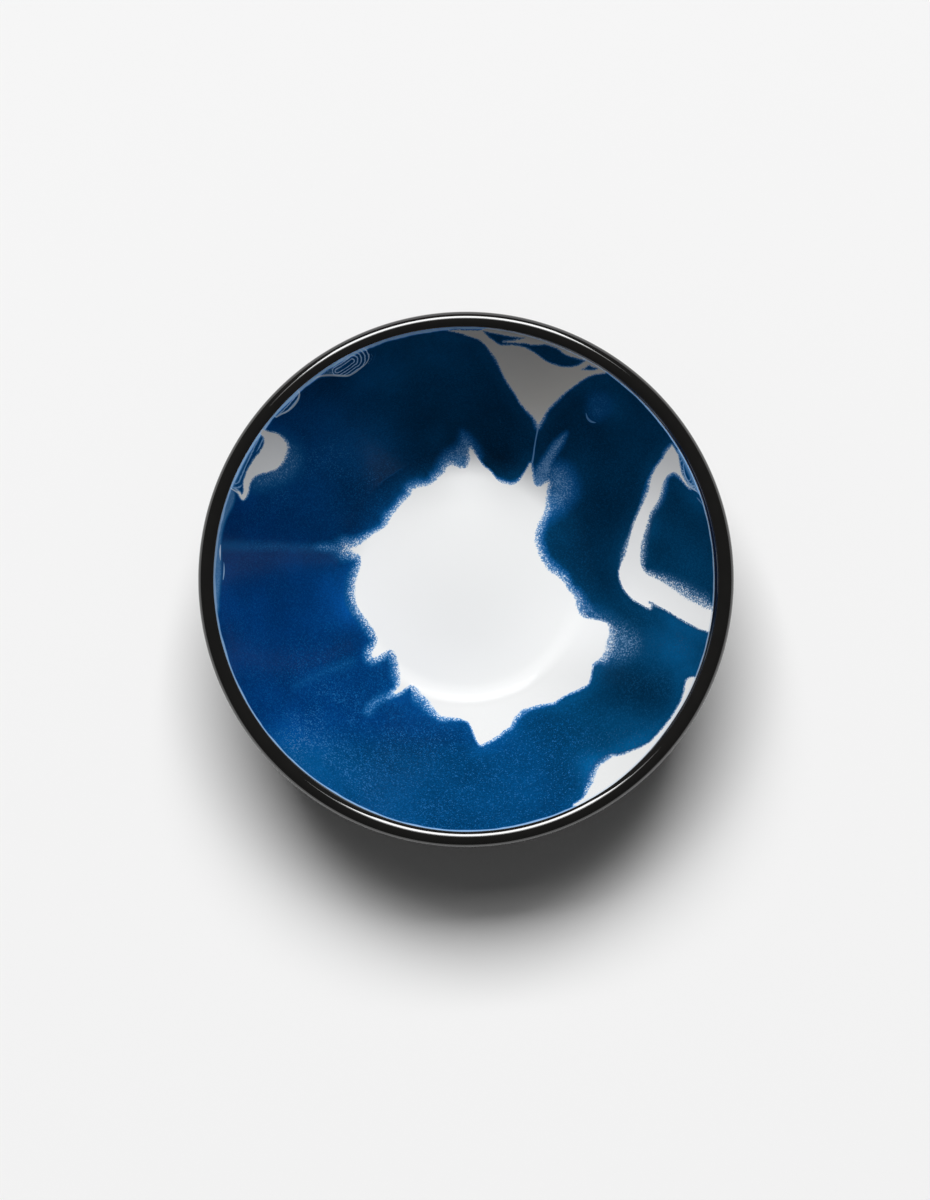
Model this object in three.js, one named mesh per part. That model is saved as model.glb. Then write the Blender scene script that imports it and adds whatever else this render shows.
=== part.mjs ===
import * as THREE from 'three';

// Enamelled steel soup bowl: one pressed sheet with a rolled rim, and glass enamel fused to
// both faces. Millimetres, +Z up. The origin is the middle of the plane that the bowl stands on.

const degree = Math.PI / 180;
const quarterTurn = Math.PI / 2;
const fullTurn = 2 * Math.PI;

// Overall sizes
const bowlDiameter = 180;
const bowlHeight = 46;

// Well and wall, measured on the enamel inside the bowl
const floorDiameter = 72;
const cornerRadius = 14;
const wallFootSlope = 38 * degree; // from level, where the corner runs into the wall
const wallTopSlope = 51 * degree; // from level, where the wall reaches the rim
const wallHandleShare = 1 / 3; // of the wall's chord, for the handles of its curve

// Underside: the middle is pressed up, so that the bowl stands on a flat ring
const restingRingWidth = 6;
const baseRise = 0.6;

// Sheet and rolled rim
const sheetThickness = 0.8;
const beadDiameter = 5.8; // over the edging enamel
const curlGap = 0.3; // from the sheet's curled edge to the back of the wall
const lipBelowCrevice = 1; // straight stretch of wall under the rim's crevice

// Enamel
const insideCoatThickness = 0.3;
const outsideCoatThickness = 0.3;
const edgingThickness = 0.35;
const edgingLap = 0.4; // down the inner wall, below the bead
const creviceRadius = 1.2; // the hollow curve of the edging, under the bead

// Facets
const facetsAround = 52;
const baseSteps = 3;
const wallSteps = 5;
const cornerFacet = 10 * degree; // turned by one facet, at most
const beadFacet = 32 * degree;

// The section is drawn in a half plane: x is the distance from the bowl's axis, y the height.
// Directions follow the slope of the sheet: along it, outwards and up the wall, and square to
// it, up and into the bowl.

function alongSheet(slope) {
  return new THREE.Vector2(Math.cos(slope), Math.sin(slope));
}

function squareToSheet(slope) {
  return new THREE.Vector2(-Math.sin(slope), Math.cos(slope));
}

// A station is a place on the sheet's upper face, with its slope there. Every layer of the bowl
// is an offset of the same stations, so that the layers meet face to face.

function offset({ place, slope }, distance) {
  return place.clone().addScaledVector(squareToSheet(slope), distance);
}

function layer(stations, distance) {
  return stations.map((station) => offset(station, distance));
}

// Stations on an arc that turns from one slope to another. The radius is positive where the
// centre lies under the face, as in the bead, and negative where it lies over it.
function arc(centre, radius, fromSlope, toSlope, facet) {
  const steps = Math.ceil(Math.abs(toSlope - fromSlope) / facet);
  return Array.from({ length: steps + 1 }, (_, i) => {
    const slope = THREE.MathUtils.lerp(fromSlope, toSlope, i / steps);
    return { place: centre.clone().addScaledVector(squareToSheet(slope), radius), slope };
  });
}

// Stations at even lengths along a curve.
function along(curve, steps) {
  return Array.from({ length: steps + 1 }, (_, i) => (
    { place: curve.getPointAt(i / steps), slope: curve.getTangentAt(i / steps).angle() }
  ));
}

// Floor and corner. The middle of the floor rises as half a wave, level at both its ends.

const floorHeight = outsideCoatThickness + sheetThickness; // of the sheet's upper face
const floorRadius = floorDiameter / 2;
const raisedRadius = floorRadius - restingRingWidth;

const base = Array.from({ length: baseSteps + 1 }, (_, i) => {
  const wave = (1 + Math.cos((Math.PI * i) / baseSteps)) / 2;
  const radius = (raisedRadius * i) / baseSteps;
  return { place: new THREE.Vector2(radius, floorHeight + baseRise * wave), slope: 0 };
});

const sheetCornerRadius = cornerRadius + insideCoatThickness;
const cornerCentre = new THREE.Vector2(floorRadius, floorHeight + sheetCornerRadius);
const corner = arc(cornerCentre, -sheetCornerRadius, 0, wallFootSlope, cornerFacet);

// Rolled rim, about the middle of the bead

const edgedRadius = beadDiameter / 2; // over the edging
const beadRadius = edgedRadius - edgingThickness; // over the sheet
const hollowRadius = beadRadius - sheetThickness; // inside the sheet
const beadCentre = new THREE.Vector2(bowlDiameter / 2 - edgedRadius, bowlHeight - edgedRadius);

// A place so far from the bead's middle towards the inside of the bowl, square to the wall, and
// so far down the wall.
function fromBead(inwards, down) {
  return beadCentre.clone()
    .addScaledVector(squareToSheet(wallTopSlope), inwards)
    .addScaledVector(alongSheet(wallTopSlope), -down);
}

// Crevice under the bead: the edging fills it in a hollow arc that touches both the bead and the
// black face of the wall.
const backFace = hollowRadius - outsideCoatThickness; // of the wall, inwards of the bead's middle
const creviceInwards = backFace - creviceRadius;
const creviceDown = Math.sqrt((edgedRadius + creviceRadius) ** 2 - creviceInwards ** 2);
const creviceSlope = wallTopSlope + Math.atan2(creviceDown, creviceInwards) - fullTurn;

// The sheet turns over and outwards until the corner of its edge comes within the gap of the
// wall's back. It is drawn from quarter to quarter, so that the bead's top and its outermost
// circle are true to size.
const curlOpening = Math.acos((hollowRadius - curlGap) / beadRadius);
const curlSlopes = [
  wallTopSlope,
  0,
  -quarterTurn,
  -2 * quarterTurn,
  creviceSlope,
  wallTopSlope + curlOpening - fullTurn,
];
const curlArcs = curlSlopes.slice(1).map((slope, i) => (
  arc(beadCentre, beadRadius, curlSlopes[i], slope, beadFacet).slice(i ? 1 : 0)
));
const curl = curlArcs.flat();
const curlInView = curlArcs.slice(0, -1).flat(); // down to the crevice

// Wall: one curve from the corner to the straight lip below the rim.
function wallStations() {
  const foot = corner.at(-1).place;
  const top = fromBead(beadRadius, creviceDown + lipBelowCrevice);
  const handle = foot.distanceTo(top) * wallHandleShare;
  const curve = new THREE.CubicBezierCurve(
    foot,
    foot.clone().addScaledVector(alongSheet(wallFootSlope), handle),
    top.clone().addScaledVector(alongSheet(wallTopSlope), -handle),
    top,
  );
  return along(curve, wallSteps).slice(1);
}

const pressed = [...base, ...corner, ...wallStations()]; // from the axis to the lip
const edgingStart = { place: fromBead(beadRadius, edgingLap), slope: wallTopSlope };

// Finishes

function bareSteel() {
  return new THREE.MeshStandardMaterial({ color: 0x7d8083, roughness: 0.45, metalness: 1 });
}

function marbledEnamel() {
  return new THREE.MeshStandardMaterial({ color: 0x04396f, roughness: 0.08, metalness: 0 });
}

function blackEnamel() {
  return new THREE.MeshStandardMaterial({ color: 0x121314, roughness: 0.1, metalness: 0 });
}

// A section turned about the bowl's axis. It runs outwards along its lower side and back along
// its upper side.
function revolve(name, section, material) {
  const mesh = new THREE.Mesh(new THREE.LatheGeometry(section, facetsAround), material);
  mesh.name = name;
  return mesh;
}

// Pressed sheet, from the axis to the end of the curl.
function steelShell() {
  const stations = [...pressed, ...curl];
  const section = [...layer(stations, -sheetThickness), ...layer(stations, 0).reverse()];
  return revolve('steel_shell', section, bareSteel());
}

// White enamel with blue poured over it, from the axis to where the edging starts.
function insideCoat() {
  const stations = [...pressed, edgingStart];
  const section = [...layer(stations, 0), ...layer(stations, insideCoatThickness).reverse()];
  return revolve('inside_coat', section, marbledEnamel());
}

// Black enamel on the underside and the outer wall, from the axis to the crevice.
function outsideCoat() {
  const face = [
    ...layer(pressed, -sheetThickness - outsideCoatThickness),
    fromBead(backFace, creviceDown),
  ];
  const back = [...layer(pressed, -sheetThickness), fromBead(hollowRadius, creviceDown)];
  return revolve('outside_coat', [...face, ...back.reverse()], blackEnamel());
}

// Black edging over the bead, from the inner wall to the filled crevice.
function rimCoat() {
  const crevice = arc(
    fromBead(creviceInwards, creviceDown),
    creviceRadius,
    creviceSlope - 2 * quarterTurn,
    wallTopSlope - fullTurn,
    beadFacet,
  );
  const face = [
    offset(edgingStart, edgingThickness),
    ...layer(curlInView, edgingThickness),
    ...layer(crevice, 0).slice(1),
  ];
  const back = [
    offset(edgingStart, 0),
    ...layer(curl, 0),
    fromBead(hollowRadius, beadRadius * Math.sin(curlOpening)),
    fromBead(hollowRadius, creviceDown),
  ];
  return revolve('rim_coat', [...back, ...face.reverse(), back[0]], blackEnamel());
}

const bowl = new THREE.Group();
bowl.add(steelShell(), insideCoat(), outsideCoat(), rimCoat());
bowl.rotation.x = quarterTurn; // the turned sections' axis, Y, becomes the bowl's Z

export default bowl;
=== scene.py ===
import math

import bmesh
import bpy
import numpy as np
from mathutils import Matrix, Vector


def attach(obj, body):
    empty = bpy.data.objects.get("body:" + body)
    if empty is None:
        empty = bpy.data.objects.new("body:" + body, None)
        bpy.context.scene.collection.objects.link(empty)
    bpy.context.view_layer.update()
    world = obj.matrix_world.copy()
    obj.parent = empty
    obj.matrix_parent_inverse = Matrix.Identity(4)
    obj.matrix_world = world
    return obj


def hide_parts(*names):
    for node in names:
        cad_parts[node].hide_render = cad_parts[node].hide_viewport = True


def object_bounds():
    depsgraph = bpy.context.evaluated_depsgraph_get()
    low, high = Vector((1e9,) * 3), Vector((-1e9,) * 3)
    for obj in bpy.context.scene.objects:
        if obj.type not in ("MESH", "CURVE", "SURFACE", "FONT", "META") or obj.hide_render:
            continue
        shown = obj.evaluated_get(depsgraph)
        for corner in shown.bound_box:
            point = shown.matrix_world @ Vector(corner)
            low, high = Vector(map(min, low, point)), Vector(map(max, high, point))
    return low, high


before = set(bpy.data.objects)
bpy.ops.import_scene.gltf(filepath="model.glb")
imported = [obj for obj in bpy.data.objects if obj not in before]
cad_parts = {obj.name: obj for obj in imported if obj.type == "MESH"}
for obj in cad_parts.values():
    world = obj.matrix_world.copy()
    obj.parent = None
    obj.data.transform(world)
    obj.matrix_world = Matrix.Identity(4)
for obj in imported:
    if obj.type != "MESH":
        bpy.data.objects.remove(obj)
cad_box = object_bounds()

# Enamelled steel soup bowl. Everything is in metres, +Z up, and the bowl's axis is Z.

MM = 0.001
BODY = "root"

# Overall sizes come from the frame. The others repeat the solids' section.
BOWL_RADIUS = cad_box[1].x
BOWL_HEIGHT = cad_box[1].z
FLOOR_RADIUS = 36 * MM
CORNER_RADIUS = 14 * MM  # on the enamel
WALL_FOOT_SLOPE = math.radians(38)
WALL_TOP_SLOPE = math.radians(51)
WALL_HANDLE_SHARE = 1 / 3
RESTING_RING_WIDTH = 6 * MM
BASE_RISE = 0.6 * MM
SHEET = 0.8 * MM
BEAD_DIAMETER = 5.8 * MM  # over the edging
CURL_GAP = 0.3 * MM
LIP_BELOW_CREVICE = 1 * MM
WALL_GRADING = 0.3  # by how much the wall's stations lie closer together at the rim
INSIDE_COAT = 0.3 * MM
OUTSIDE_COAT = 0.3 * MM
EDGING = 0.35 * MM
CREVICE_RADIUS = 1.2 * MM

# The edging is brushed on by hand, so that its lower line wanders: how far it laps down the
# inner wall from the bead's foot, every 30 degrees round from +X. Below 0 it stays on the bead.
LAPS = (2.2, 1.6, 0.95, 0.1, -0.3, -0.15, 0.2, 0.55, 0.95, 0.4, 0.3, 1.35)
EDGING_LAPS = [lap * MM for lap in LAPS]
EDGING_WOBBLE = 0.02 * MM  # how far the line shakes between them
EDGING_SHOULDER = 0.25 * MM  # in which the edging rises to its full thickness
EDGING_POOLED = 0.15 * MM  # how much thicker it lies at the bead's foot, where it pooled
COAT_ABOVE_FOOT = 0.9 * MM  # the inside coat runs on under the edging, up the bead

# How wide the paler fringe below the edging's line is, every 30 degrees too, in pixels.
FRINGES = (1.2, 1.3, 1.5, 3.2, 3.4, 2.8, 2.6, 1.4, 1.6, 1.5, 1.6, 1.2)

FULL_TURN = 2 * math.pi

# How finely the meshes are divided: round the bowl, and along single stretches of a section.
INSIDE_SEGMENTS = 720
OUTSIDE_SEGMENTS = 256
EDGING_SEGMENTS = 512
SHEET_SEGMENTS = 192
LIP_STEPS = 9
COAT_END_STEPS = 6
BACK_EVERY = 5  # the back of the inside coat has one in so many of the lip's stations
FOOT_STEPS = 13
BEAD_STEPS = 40
CREVICE_STEPS = 12
UNDER_STEPS = 4
CURL_STEPS = 32
SHEET_CURL_STEPS = 48
WELD = 1e-7  # points closer than this become one
SHARP_ANGLE = math.radians(35)

# The camera looks straight down, as in the photograph, whose pixels are counted in its full frame.
PHOTO_SIZE = (930, 1200)
PIXEL_BELOW_CAMERA = (465, 600)
CAMERA_FROM_AXIS = (-0.34 * MM, -6.9 * MM)
CAMERA_ABOVE_RIM = 1.147
SENSOR = 36 * MM  # along the photograph's long side
LENS = 102.65 * MM
FOCAL_PIXELS = LENS / SENSOR * PHOTO_SIZE[1]
PIXEL = CAMERA_ABOVE_RIM / FOCAL_PIXELS  # the width that one pixel covers at the rim


# The bowl's section

# It is drawn in a half plane, with x as the distance from the axis and y as the height. A station
# is a place on the sheet's upper face and the slope there.

def along_sheet(slope):
    return Vector((math.cos(slope), math.sin(slope)))


def square_to_sheet(slope):
    return Vector((-math.sin(slope), math.cos(slope)))


def offset(station, distance):
    place, slope = station
    return place + square_to_sheet(slope) * distance


def layer(stations, distance):
    return [offset(station, distance) for station in stations]


def arc(centre, radius, from_slope, to_slope, steps):
    """Stations on an arc. The radius is negative where the centre lies over the face."""
    slopes = np.linspace(from_slope, to_slope, steps + 1)
    return [(centre + square_to_sheet(slope) * radius, slope) for slope in slopes]


FLOOR_HEIGHT = OUTSIDE_COAT + SHEET
RAISED_RADIUS = FLOOR_RADIUS - RESTING_RING_WIDTH
EDGED_RADIUS = BEAD_DIAMETER / 2
BEAD_RADIUS = EDGED_RADIUS - EDGING
HOLLOW_RADIUS = BEAD_RADIUS - SHEET
BEAD_CENTRE = Vector((BOWL_RADIUS - EDGED_RADIUS, BOWL_HEIGHT - EDGED_RADIUS))
BACK_FACE = HOLLOW_RADIUS - OUTSIDE_COAT
CREVICE_INWARDS = BACK_FACE - CREVICE_RADIUS
CREVICE_DOWN = math.sqrt((EDGED_RADIUS + CREVICE_RADIUS) ** 2 - CREVICE_INWARDS**2)
CREVICE_SLOPE = WALL_TOP_SLOPE + math.atan2(CREVICE_DOWN, CREVICE_INWARDS) - FULL_TURN
CURL_OPENING = math.acos((HOLLOW_RADIUS - CURL_GAP) / BEAD_RADIUS)
CURL_END_SLOPE = WALL_TOP_SLOPE + CURL_OPENING - FULL_TURN


def from_bead(inwards, down):
    """A place so far from the bead's middle, square to the wall and down the wall."""
    return (
        BEAD_CENTRE
        + square_to_sheet(WALL_TOP_SLOPE) * inwards
        - along_sheet(WALL_TOP_SLOPE) * down
    )


def base_stations(steps, flat_steps):
    """Stations on the raised middle and on the flat ring round it, short of the corner."""
    radii = np.linspace(0, RAISED_RADIUS, steps + 1)
    waves = (1 + np.cos(np.pi * radii / RAISED_RADIUS)) / 2
    raised = [(Vector((r, FLOOR_HEIGHT + BASE_RISE * wave)), 0) for r, wave in zip(radii, waves)]
    flat = np.linspace(RAISED_RADIUS, FLOOR_RADIUS, flat_steps + 1)[1:-1]
    return raised + [(Vector((r, FLOOR_HEIGHT)), 0) for r in flat]


def corner_stations(steps):
    radius = CORNER_RADIUS + INSIDE_COAT
    centre = Vector((FLOOR_RADIUS, FLOOR_HEIGHT + radius))
    return arc(centre, -radius, 0, WALL_FOOT_SLOPE, steps)


def wall_stations(foot, steps):
    """The wall's curve, from the corner to the straight lip below the rim."""
    top = from_bead(BEAD_RADIUS, CREVICE_DOWN + LIP_BELOW_CREVICE)
    handle = (top - foot).length * WALL_HANDLE_SHARE
    points = [
        foot,
        foot + along_sheet(WALL_FOOT_SLOPE) * handle,
        top - along_sheet(WALL_TOP_SLOPE) * handle,
        top,
    ]
    stations = []
    for share in np.linspace(0, 1, steps + 1)[1:]:
        t = share + WALL_GRADING * math.sin(math.pi * share) / math.pi
        a, b, c = (points[i].lerp(points[i + 1], t) for i in range(3))
        d, e = a.lerp(b, t), b.lerp(c, t)
        way = e - d
        stations.append((d.lerp(e, t), math.atan2(way.y, way.x)))
    return stations


def pressed_stations(base, flat, corner, wall):
    turned_up = corner_stations(corner)
    return base_stations(base, flat) + turned_up + wall_stations(turned_up[-1][0], wall)


def rim_station(down):
    """A station so far down the wall from the bead's foot, or up and over the bead if below 0."""
    if down >= 0:
        return from_bead(BEAD_RADIUS, down), WALL_TOP_SLOPE
    slope = WALL_TOP_SLOPE + down / BEAD_RADIUS
    return BEAD_CENTRE + square_to_sheet(slope) * BEAD_RADIUS, slope


def over_bead(slope):
    """How far down the wall rim_station puts a slope of the bead."""
    return (slope - WALL_TOP_SLOPE) * BEAD_RADIUS


def edging_lap(azimuth):
    """The edging's lap at an azimuth, eased from one of the listed laps to the next."""
    position = azimuth / FULL_TURN * len(EDGING_LAPS)
    first = math.floor(position)
    share = (1 - math.cos(math.pi * (position - first))) / 2
    before, after = (EDGING_LAPS[(first + i) % len(EDGING_LAPS)] for i in (0, 1))
    wobble = EDGING_WOBBLE * (math.sin(17 * azimuth) + math.sin(29 * azimuth + 1))
    return before + (after - before) * share + wobble


# Meshes

def turned(name, section_at, segments):
    """A closed piece turned about Z, with section_at giving its section at an azimuth. A section
    runs from the axis to the axis, or, in a ring, all round."""
    sections = [section_at(FULL_TURN * i / segments) for i in range(segments)]
    ring = sections[0][0].x > 0
    count = len(sections[0])
    vertices = []
    for i, section in enumerate(sections):
        azimuth = FULL_TURN * i / segments
        vertices += [(p.x * math.cos(azimuth), p.x * math.sin(azimuth), p.y) for p in section]
    faces = []
    for i in range(segments):
        here, after = i * count, (i + 1) % segments * count
        for j in range(count if ring else count - 1):
            k = (j + 1) % count
            faces.append((here + j, after + j, after + k, here + k))
    mesh = bpy.data.meshes.new(name)
    mesh.from_pydata(vertices, [], faces)
    shape = bmesh.new()
    shape.from_mesh(mesh)
    bmesh.ops.remove_doubles(shape, verts=shape.verts, dist=WELD)
    bmesh.ops.recalc_face_normals(shape, faces=shape.faces)
    shape.to_mesh(mesh)
    shape.free()
    return finished(name, mesh)


def finished(name, mesh):
    mesh.polygons.foreach_set("use_smooth", [True] * len(mesh.polygons))
    mesh.set_sharp_from_angle(angle=SHARP_ANGLE)
    piece = bpy.data.objects.new(name, mesh)
    bpy.context.scene.collection.objects.link(piece)
    return piece


def coordinates(mesh):
    found = np.empty(len(mesh.vertices) * 3, np.float32)
    mesh.vertices.foreach_get("co", found)
    return found.reshape(-1, 3).astype(float)


def stepped(start, end, steps):
    """Even steps from start to end, without start itself."""
    return list(np.linspace(start, end, steps + 1)[1:])


def inside_enamel():
    """A fine upper face, and a plain lower face that lies on the sheet."""
    downs = [CREVICE_DOWN, *stepped(CREVICE_DOWN, 0, LIP_STEPS)]
    downs += stepped(0, -COAT_ABOVE_FOOT, COAT_END_STEPS)
    lip = [rim_station(down) for down in downs]
    upper = pressed_stations(base=14, flat=5, corner=12, wall=72) + lip
    lower = pressed_stations(base=3, flat=1, corner=3, wall=4) + lip[::BACK_EVERY]
    section = layer(lower, 0) + layer(upper, INSIDE_COAT)[::-1]
    return turned("inside_enamel", lambda azimuth: section, INSIDE_SEGMENTS)


def outside_enamel():
    stations = pressed_stations(base=10, flat=1, corner=12, wall=24)
    face = layer(stations, -SHEET - OUTSIDE_COAT) + [from_bead(BACK_FACE, CREVICE_DOWN)]
    back = layer(stations, -SHEET) + [from_bead(HOLLOW_RADIUS, CREVICE_DOWN)]
    section = face + back[::-1]
    return turned("outside_enamel", lambda azimuth: section, OUTSIDE_SEGMENTS)


def pressed_sheet():
    curl = arc(BEAD_CENTRE, BEAD_RADIUS, WALL_TOP_SLOPE, CURL_END_SLOPE, SHEET_CURL_STEPS)
    stations = pressed_stations(base=8, flat=1, corner=8, wall=16) + curl
    section = layer(stations, -SHEET) + layer(stations, 0)[::-1]
    return turned("pressed_sheet", lambda azimuth: section, SHEET_SEGMENTS)


def edging_thickness(down, lap):
    """The edging rises over its shoulder, and is thicker at the bead's foot."""
    rise = min((lap - down) / EDGING_SHOULDER, 1)
    pooled = EDGING_POOLED * max(1 - abs(down / over_bead(0)), 0) ** 2
    return INSIDE_COAT + (EDGING + pooled - INSIDE_COAT) * math.sqrt(rise)


def edging_face(lap):
    """From the edging's line, up and over the bead, and round the crevice to the outer wall."""
    downs = [lap - EDGING_SHOULDER * share for share in (0, 0.15, 0.5, 1)]
    downs += stepped(lap - EDGING_SHOULDER, over_bead(0), FOOT_STEPS)
    downs += stepped(over_bead(0), over_bead(CREVICE_SLOPE), BEAD_STEPS)
    crevice = arc(
        from_bead(CREVICE_INWARDS, CREVICE_DOWN),
        CREVICE_RADIUS,
        CREVICE_SLOPE - math.pi,
        WALL_TOP_SLOPE - FULL_TURN,
        CREVICE_STEPS,
    )
    face = [offset(rim_station(down), edging_thickness(down, lap)) for down in downs]
    return face + layer(crevice, 0)[1:]


def edging_back(lap):
    """Over the end of the inside coat, and then on the sheet to the end of its curl."""
    under = [rim_station(down) for down in stepped(lap, -COAT_ABOVE_FOOT, UNDER_STEPS)]
    curl_end = over_bead(CURL_END_SLOPE)
    downs = [-COAT_ABOVE_FOOT, *stepped(-COAT_ABOVE_FOOT, curl_end, CURL_STEPS)]
    curl = [rim_station(down) for down in downs]
    filled = [
        from_bead(HOLLOW_RADIUS, BEAD_RADIUS * math.sin(CURL_OPENING)),
        from_bead(HOLLOW_RADIUS, CREVICE_DOWN),
    ]
    return layer(under, INSIDE_COAT) + layer(curl, 0) + filled


def edging_section(azimuth):
    lap = edging_lap(azimuth)
    return edging_back(lap) + edging_face(lap)[::-1]


def rim_edging():
    return turned("rim_edging", edging_section, EDGING_SEGMENTS)


# Marbling

# Its shapes are given in the photograph's pixels, and carried onto the enamel where the
# camera sees them. A point of a white area is x, y and how wide the white frays out there.
WHITE_POOL = [
    (468.5, 451, 3), (469, 459, 4), (466, 467, 4), (459, 467, 4), (452, 464, 5), (447, 466, 5),
    (444, 471, 5), (440, 475, 5), (436, 479, 5), (432, 483, 4), (427, 485, 4), (417, 487, 5),
    (411, 490, 5), (410, 495, 4), (404, 500, 4), (399, 506, 4), (394, 512, 4), (389, 519, 5),
    (386, 525, 4), (381, 529, 3), (374, 533, 3), (367, 538, 4), (360, 543, 5), (352, 547, 7),
    (346, 549, 8), (353, 553, 6), (359.5, 557, 4), (360, 564, 4), (357.5, 572, 4.5),
    (355.5, 580, 5), (354, 588, 5), (354, 597, 5), (355.5, 604, 5), (359, 611, 4.5),
    (364, 617.5, 4.5), (368.5, 624.5, 4.5), (373.5, 631.5, 4.5), (376.5, 639, 4), (375, 645.5, 4),
    (371.5, 651, 4.5), (371, 657, 4.5), (376, 658, 4), (383, 654, 4), (390, 650.5, 5),
    (395, 656, 5), (397.5, 664, 5), (398.5, 673, 5), (399.5, 682, 4), (397.5, 688, 3),
    (392, 693, 2), (397, 693.5, 2), (402, 691, 2), (407, 687, 2), (411, 685.5, 3), (415, 688, 5),
    (420.5, 694, 6), (427, 700, 6), (431.5, 707, 5), (436.5, 712.5, 4), (441, 717, 3),
    (446, 717, 3), (455, 718, 2), (463, 719.5, 1.5), (469, 723, 1), (473, 731, 1), (476, 739, 1),
    (480, 745, 1), (485, 743, 2), (492, 739.5, 2), (499, 735, 2), (505, 730, 2), (510.5, 727, 2),
    (513, 721, 3), (517, 715, 3), (522, 710.5, 3), (530, 707.5, 2), (539, 705, 2),
    (548, 703.5, 1.5), (554, 702.5, 1.5), (560, 698.5, 1), (567, 694.5, 1), (576, 690.5, 1.5),
    (583, 687, 1.5), (588, 684, 1), (590.5, 677, 1), (592, 669, 1), (593, 664, 2), (598, 660.5, 3),
    (603, 657, 6), (606.5, 650, 7), (608.5, 641, 8), (610.5, 633, 7), (609.5, 627, 4),
    (607, 623, 2), (600, 620.5, 1.5), (592, 619, 2), (585, 617.5, 3), (581, 614, 5), (578, 608, 6),
    (577, 602, 6), (574, 595, 5), (569, 590, 4), (566, 584, 4), (562, 579, 5), (556, 574, 5),
    (550, 570, 6), (545, 564, 5), (541, 557, 5), (538, 549, 5), (536, 541, 5), (536, 534, 5),
    (538, 527, 5), (541, 520, 5), (545, 513, 5), (547, 506, 6), (547, 498, 5), (547.5, 490, 4),
    (549, 482, 4), (545, 482.5, 3), (541, 485.5, 3), (537.5, 486, 3), (534.5, 483, 3),
    (533, 477, 2), (532, 470, 2), (530.5, 463, 1), (527, 469, 1), (523, 475, 1), (518.5, 481, 1.5),
    (512, 484.5, 2), (505, 483.5, 2), (499, 481, 2), (495, 477.5, 1), (490, 471, 0.8),
    (484, 466.5, 0.8), (480, 461, 0.8), (475, 453.5, 1.5), (470.5, 447.5, 2.5),
]
TOP_PATCH = [
    (447, 330.3, 0.8), (455, 331.8, 0.8), (464, 334.3, 0.8), (472, 337, 0.8), (479, 339.5, 0.8),
    (484, 343.5, 0.8), (489, 349.5, 1), (494, 356, 1.5), (498, 363, 1.5), (502, 372, 1),
    (506, 380, 1), (510.5, 387, 1), (515, 393.5, 1), (519, 400.5, 1), (523, 406, 1),
    (528, 411.5, 1.5), (533, 416.5, 1.5), (536, 421, 2), (538, 427, 2), (540, 423, 2),
    (543, 418, 2), (546, 412, 1.5), (550, 407, 1.5), (555, 402, 1.5), (560, 397, 1.5),
    (565, 392.5, 1), (571, 388, 1), (577, 383.5, 1), (583, 379.5, 1), (589, 376, 1),
    (595, 374, 0.8), (602, 373, 0.8), (606, 371, 0.8), (590, 357, 0.8), (560, 340, 0.8),
    (520, 328, 0.8), (490, 327, 0.8), (481, 330.3, 0.8), (470, 330.4, 0.8), (458, 330, 0.8),
]
LEFT_PATCH = [
    (262, 429, 0.8), (268, 431.5, 0.8), (274, 432.7, 1), (280, 435.5, 1.5), (284, 439.5, 2),
    (287, 444, 2.5), (287.5, 449, 3), (286, 455, 3), (283.5, 461, 2.5), (280, 466, 2),
    (275, 469.5, 1.6), (268, 472, 1.6), (261, 473.5, 1.6), (255.5, 476, 1.6), (251.5, 480, 1.5),
    (249.5, 485, 1.3), (248.5, 491, 1), (246.5, 496.5, 1), (243, 500, 0.6), (240, 497, 0.6),
    (238, 493, 0.6), (235, 490, 0.6), (231, 488.4, 0.6), (236, 488.8, 0.6), (240, 492, 0.6),
    (241.8, 495, 0.6), (243.7, 491, 0.6), (243.4, 484, 0.6), (244.8, 477, 0.8), (247.4, 470.5, 0.8),
    (251, 464, 0.8), (255, 458, 0.8), (259.5, 452.5, 0.8), (263, 447, 0.8), (264.5, 441.5, 0.8),
    (263.5, 437, 0.8), (260, 433, 0.8),
]
RIGHT_VEIN = [
    (671.5, 445.5, 1.5), (668.5, 449.5, 2), (665.5, 453.5, 2), (663.5, 457.5, 1.5),
    (660, 462.5, 1.5), (656, 468, 1.5), (652.5, 474.5, 1.5), (650, 481, 2), (649, 488, 2.5),
    (646.5, 495, 2.5), (643.5, 502, 2), (640, 509.5, 1.5), (636.5, 517, 1.5), (633.5, 525, 1.5),
    (630.5, 534, 1.5), (628, 543, 2.5), (626, 551, 3), (623.5, 558, 2.5), (620.5, 565, 1),
    (619, 572, 0.8), (620, 580, 0.8), (623, 588, 0.8), (628, 594.5, 0.8), (634, 600, 0.8),
    (641, 604.3, 0.8), (649, 608, 1.5), (651.5, 605.5, 2), (648, 601.5, 3), (653, 603, 2),
    (660, 607, 1), (668, 611, 1), (676, 616, 1), (684, 620.7, 1), (692, 625, 1), (700, 629, 1),
    (706, 630.7, 1), (716, 633, 0.8), (718, 610, 0.8), (709, 608.5, 6), (702, 605, 8),
    (695, 601.5, 8), (688, 597.5, 8), (681, 593, 8), (674, 588, 7), (667, 583.5, 6),
    (660, 579.7, 5), (653, 576.5, 4), (646, 573, 3), (643, 569, 2), (641.3, 563, 3), (641, 555, 4),
    (641.5, 547, 4), (643.5, 538, 3.5), (646, 529, 3), (648.5, 520.5, 2.5), (651, 512.5, 3),
    (655, 506, 3), (659, 499, 3), (661.3, 492, 3), (663, 485, 3), (665.5, 479, 2), (669, 474.5, 2),
    (674, 472.5, 2), (678.5, 475, 2), (682.5, 480.5, 1), (687, 486, 0.8), (691, 489.5, 0.8),
    (688.5, 486, 0.6), (685, 480.5, 0.6), (682.3, 475, 0.6), (680.6, 469, 0.8), (679.3, 462, 0.8),
    (678.3, 455.5, 0.8), (675.3, 450, 0.8), (673.5, 447, 1),
]
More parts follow.
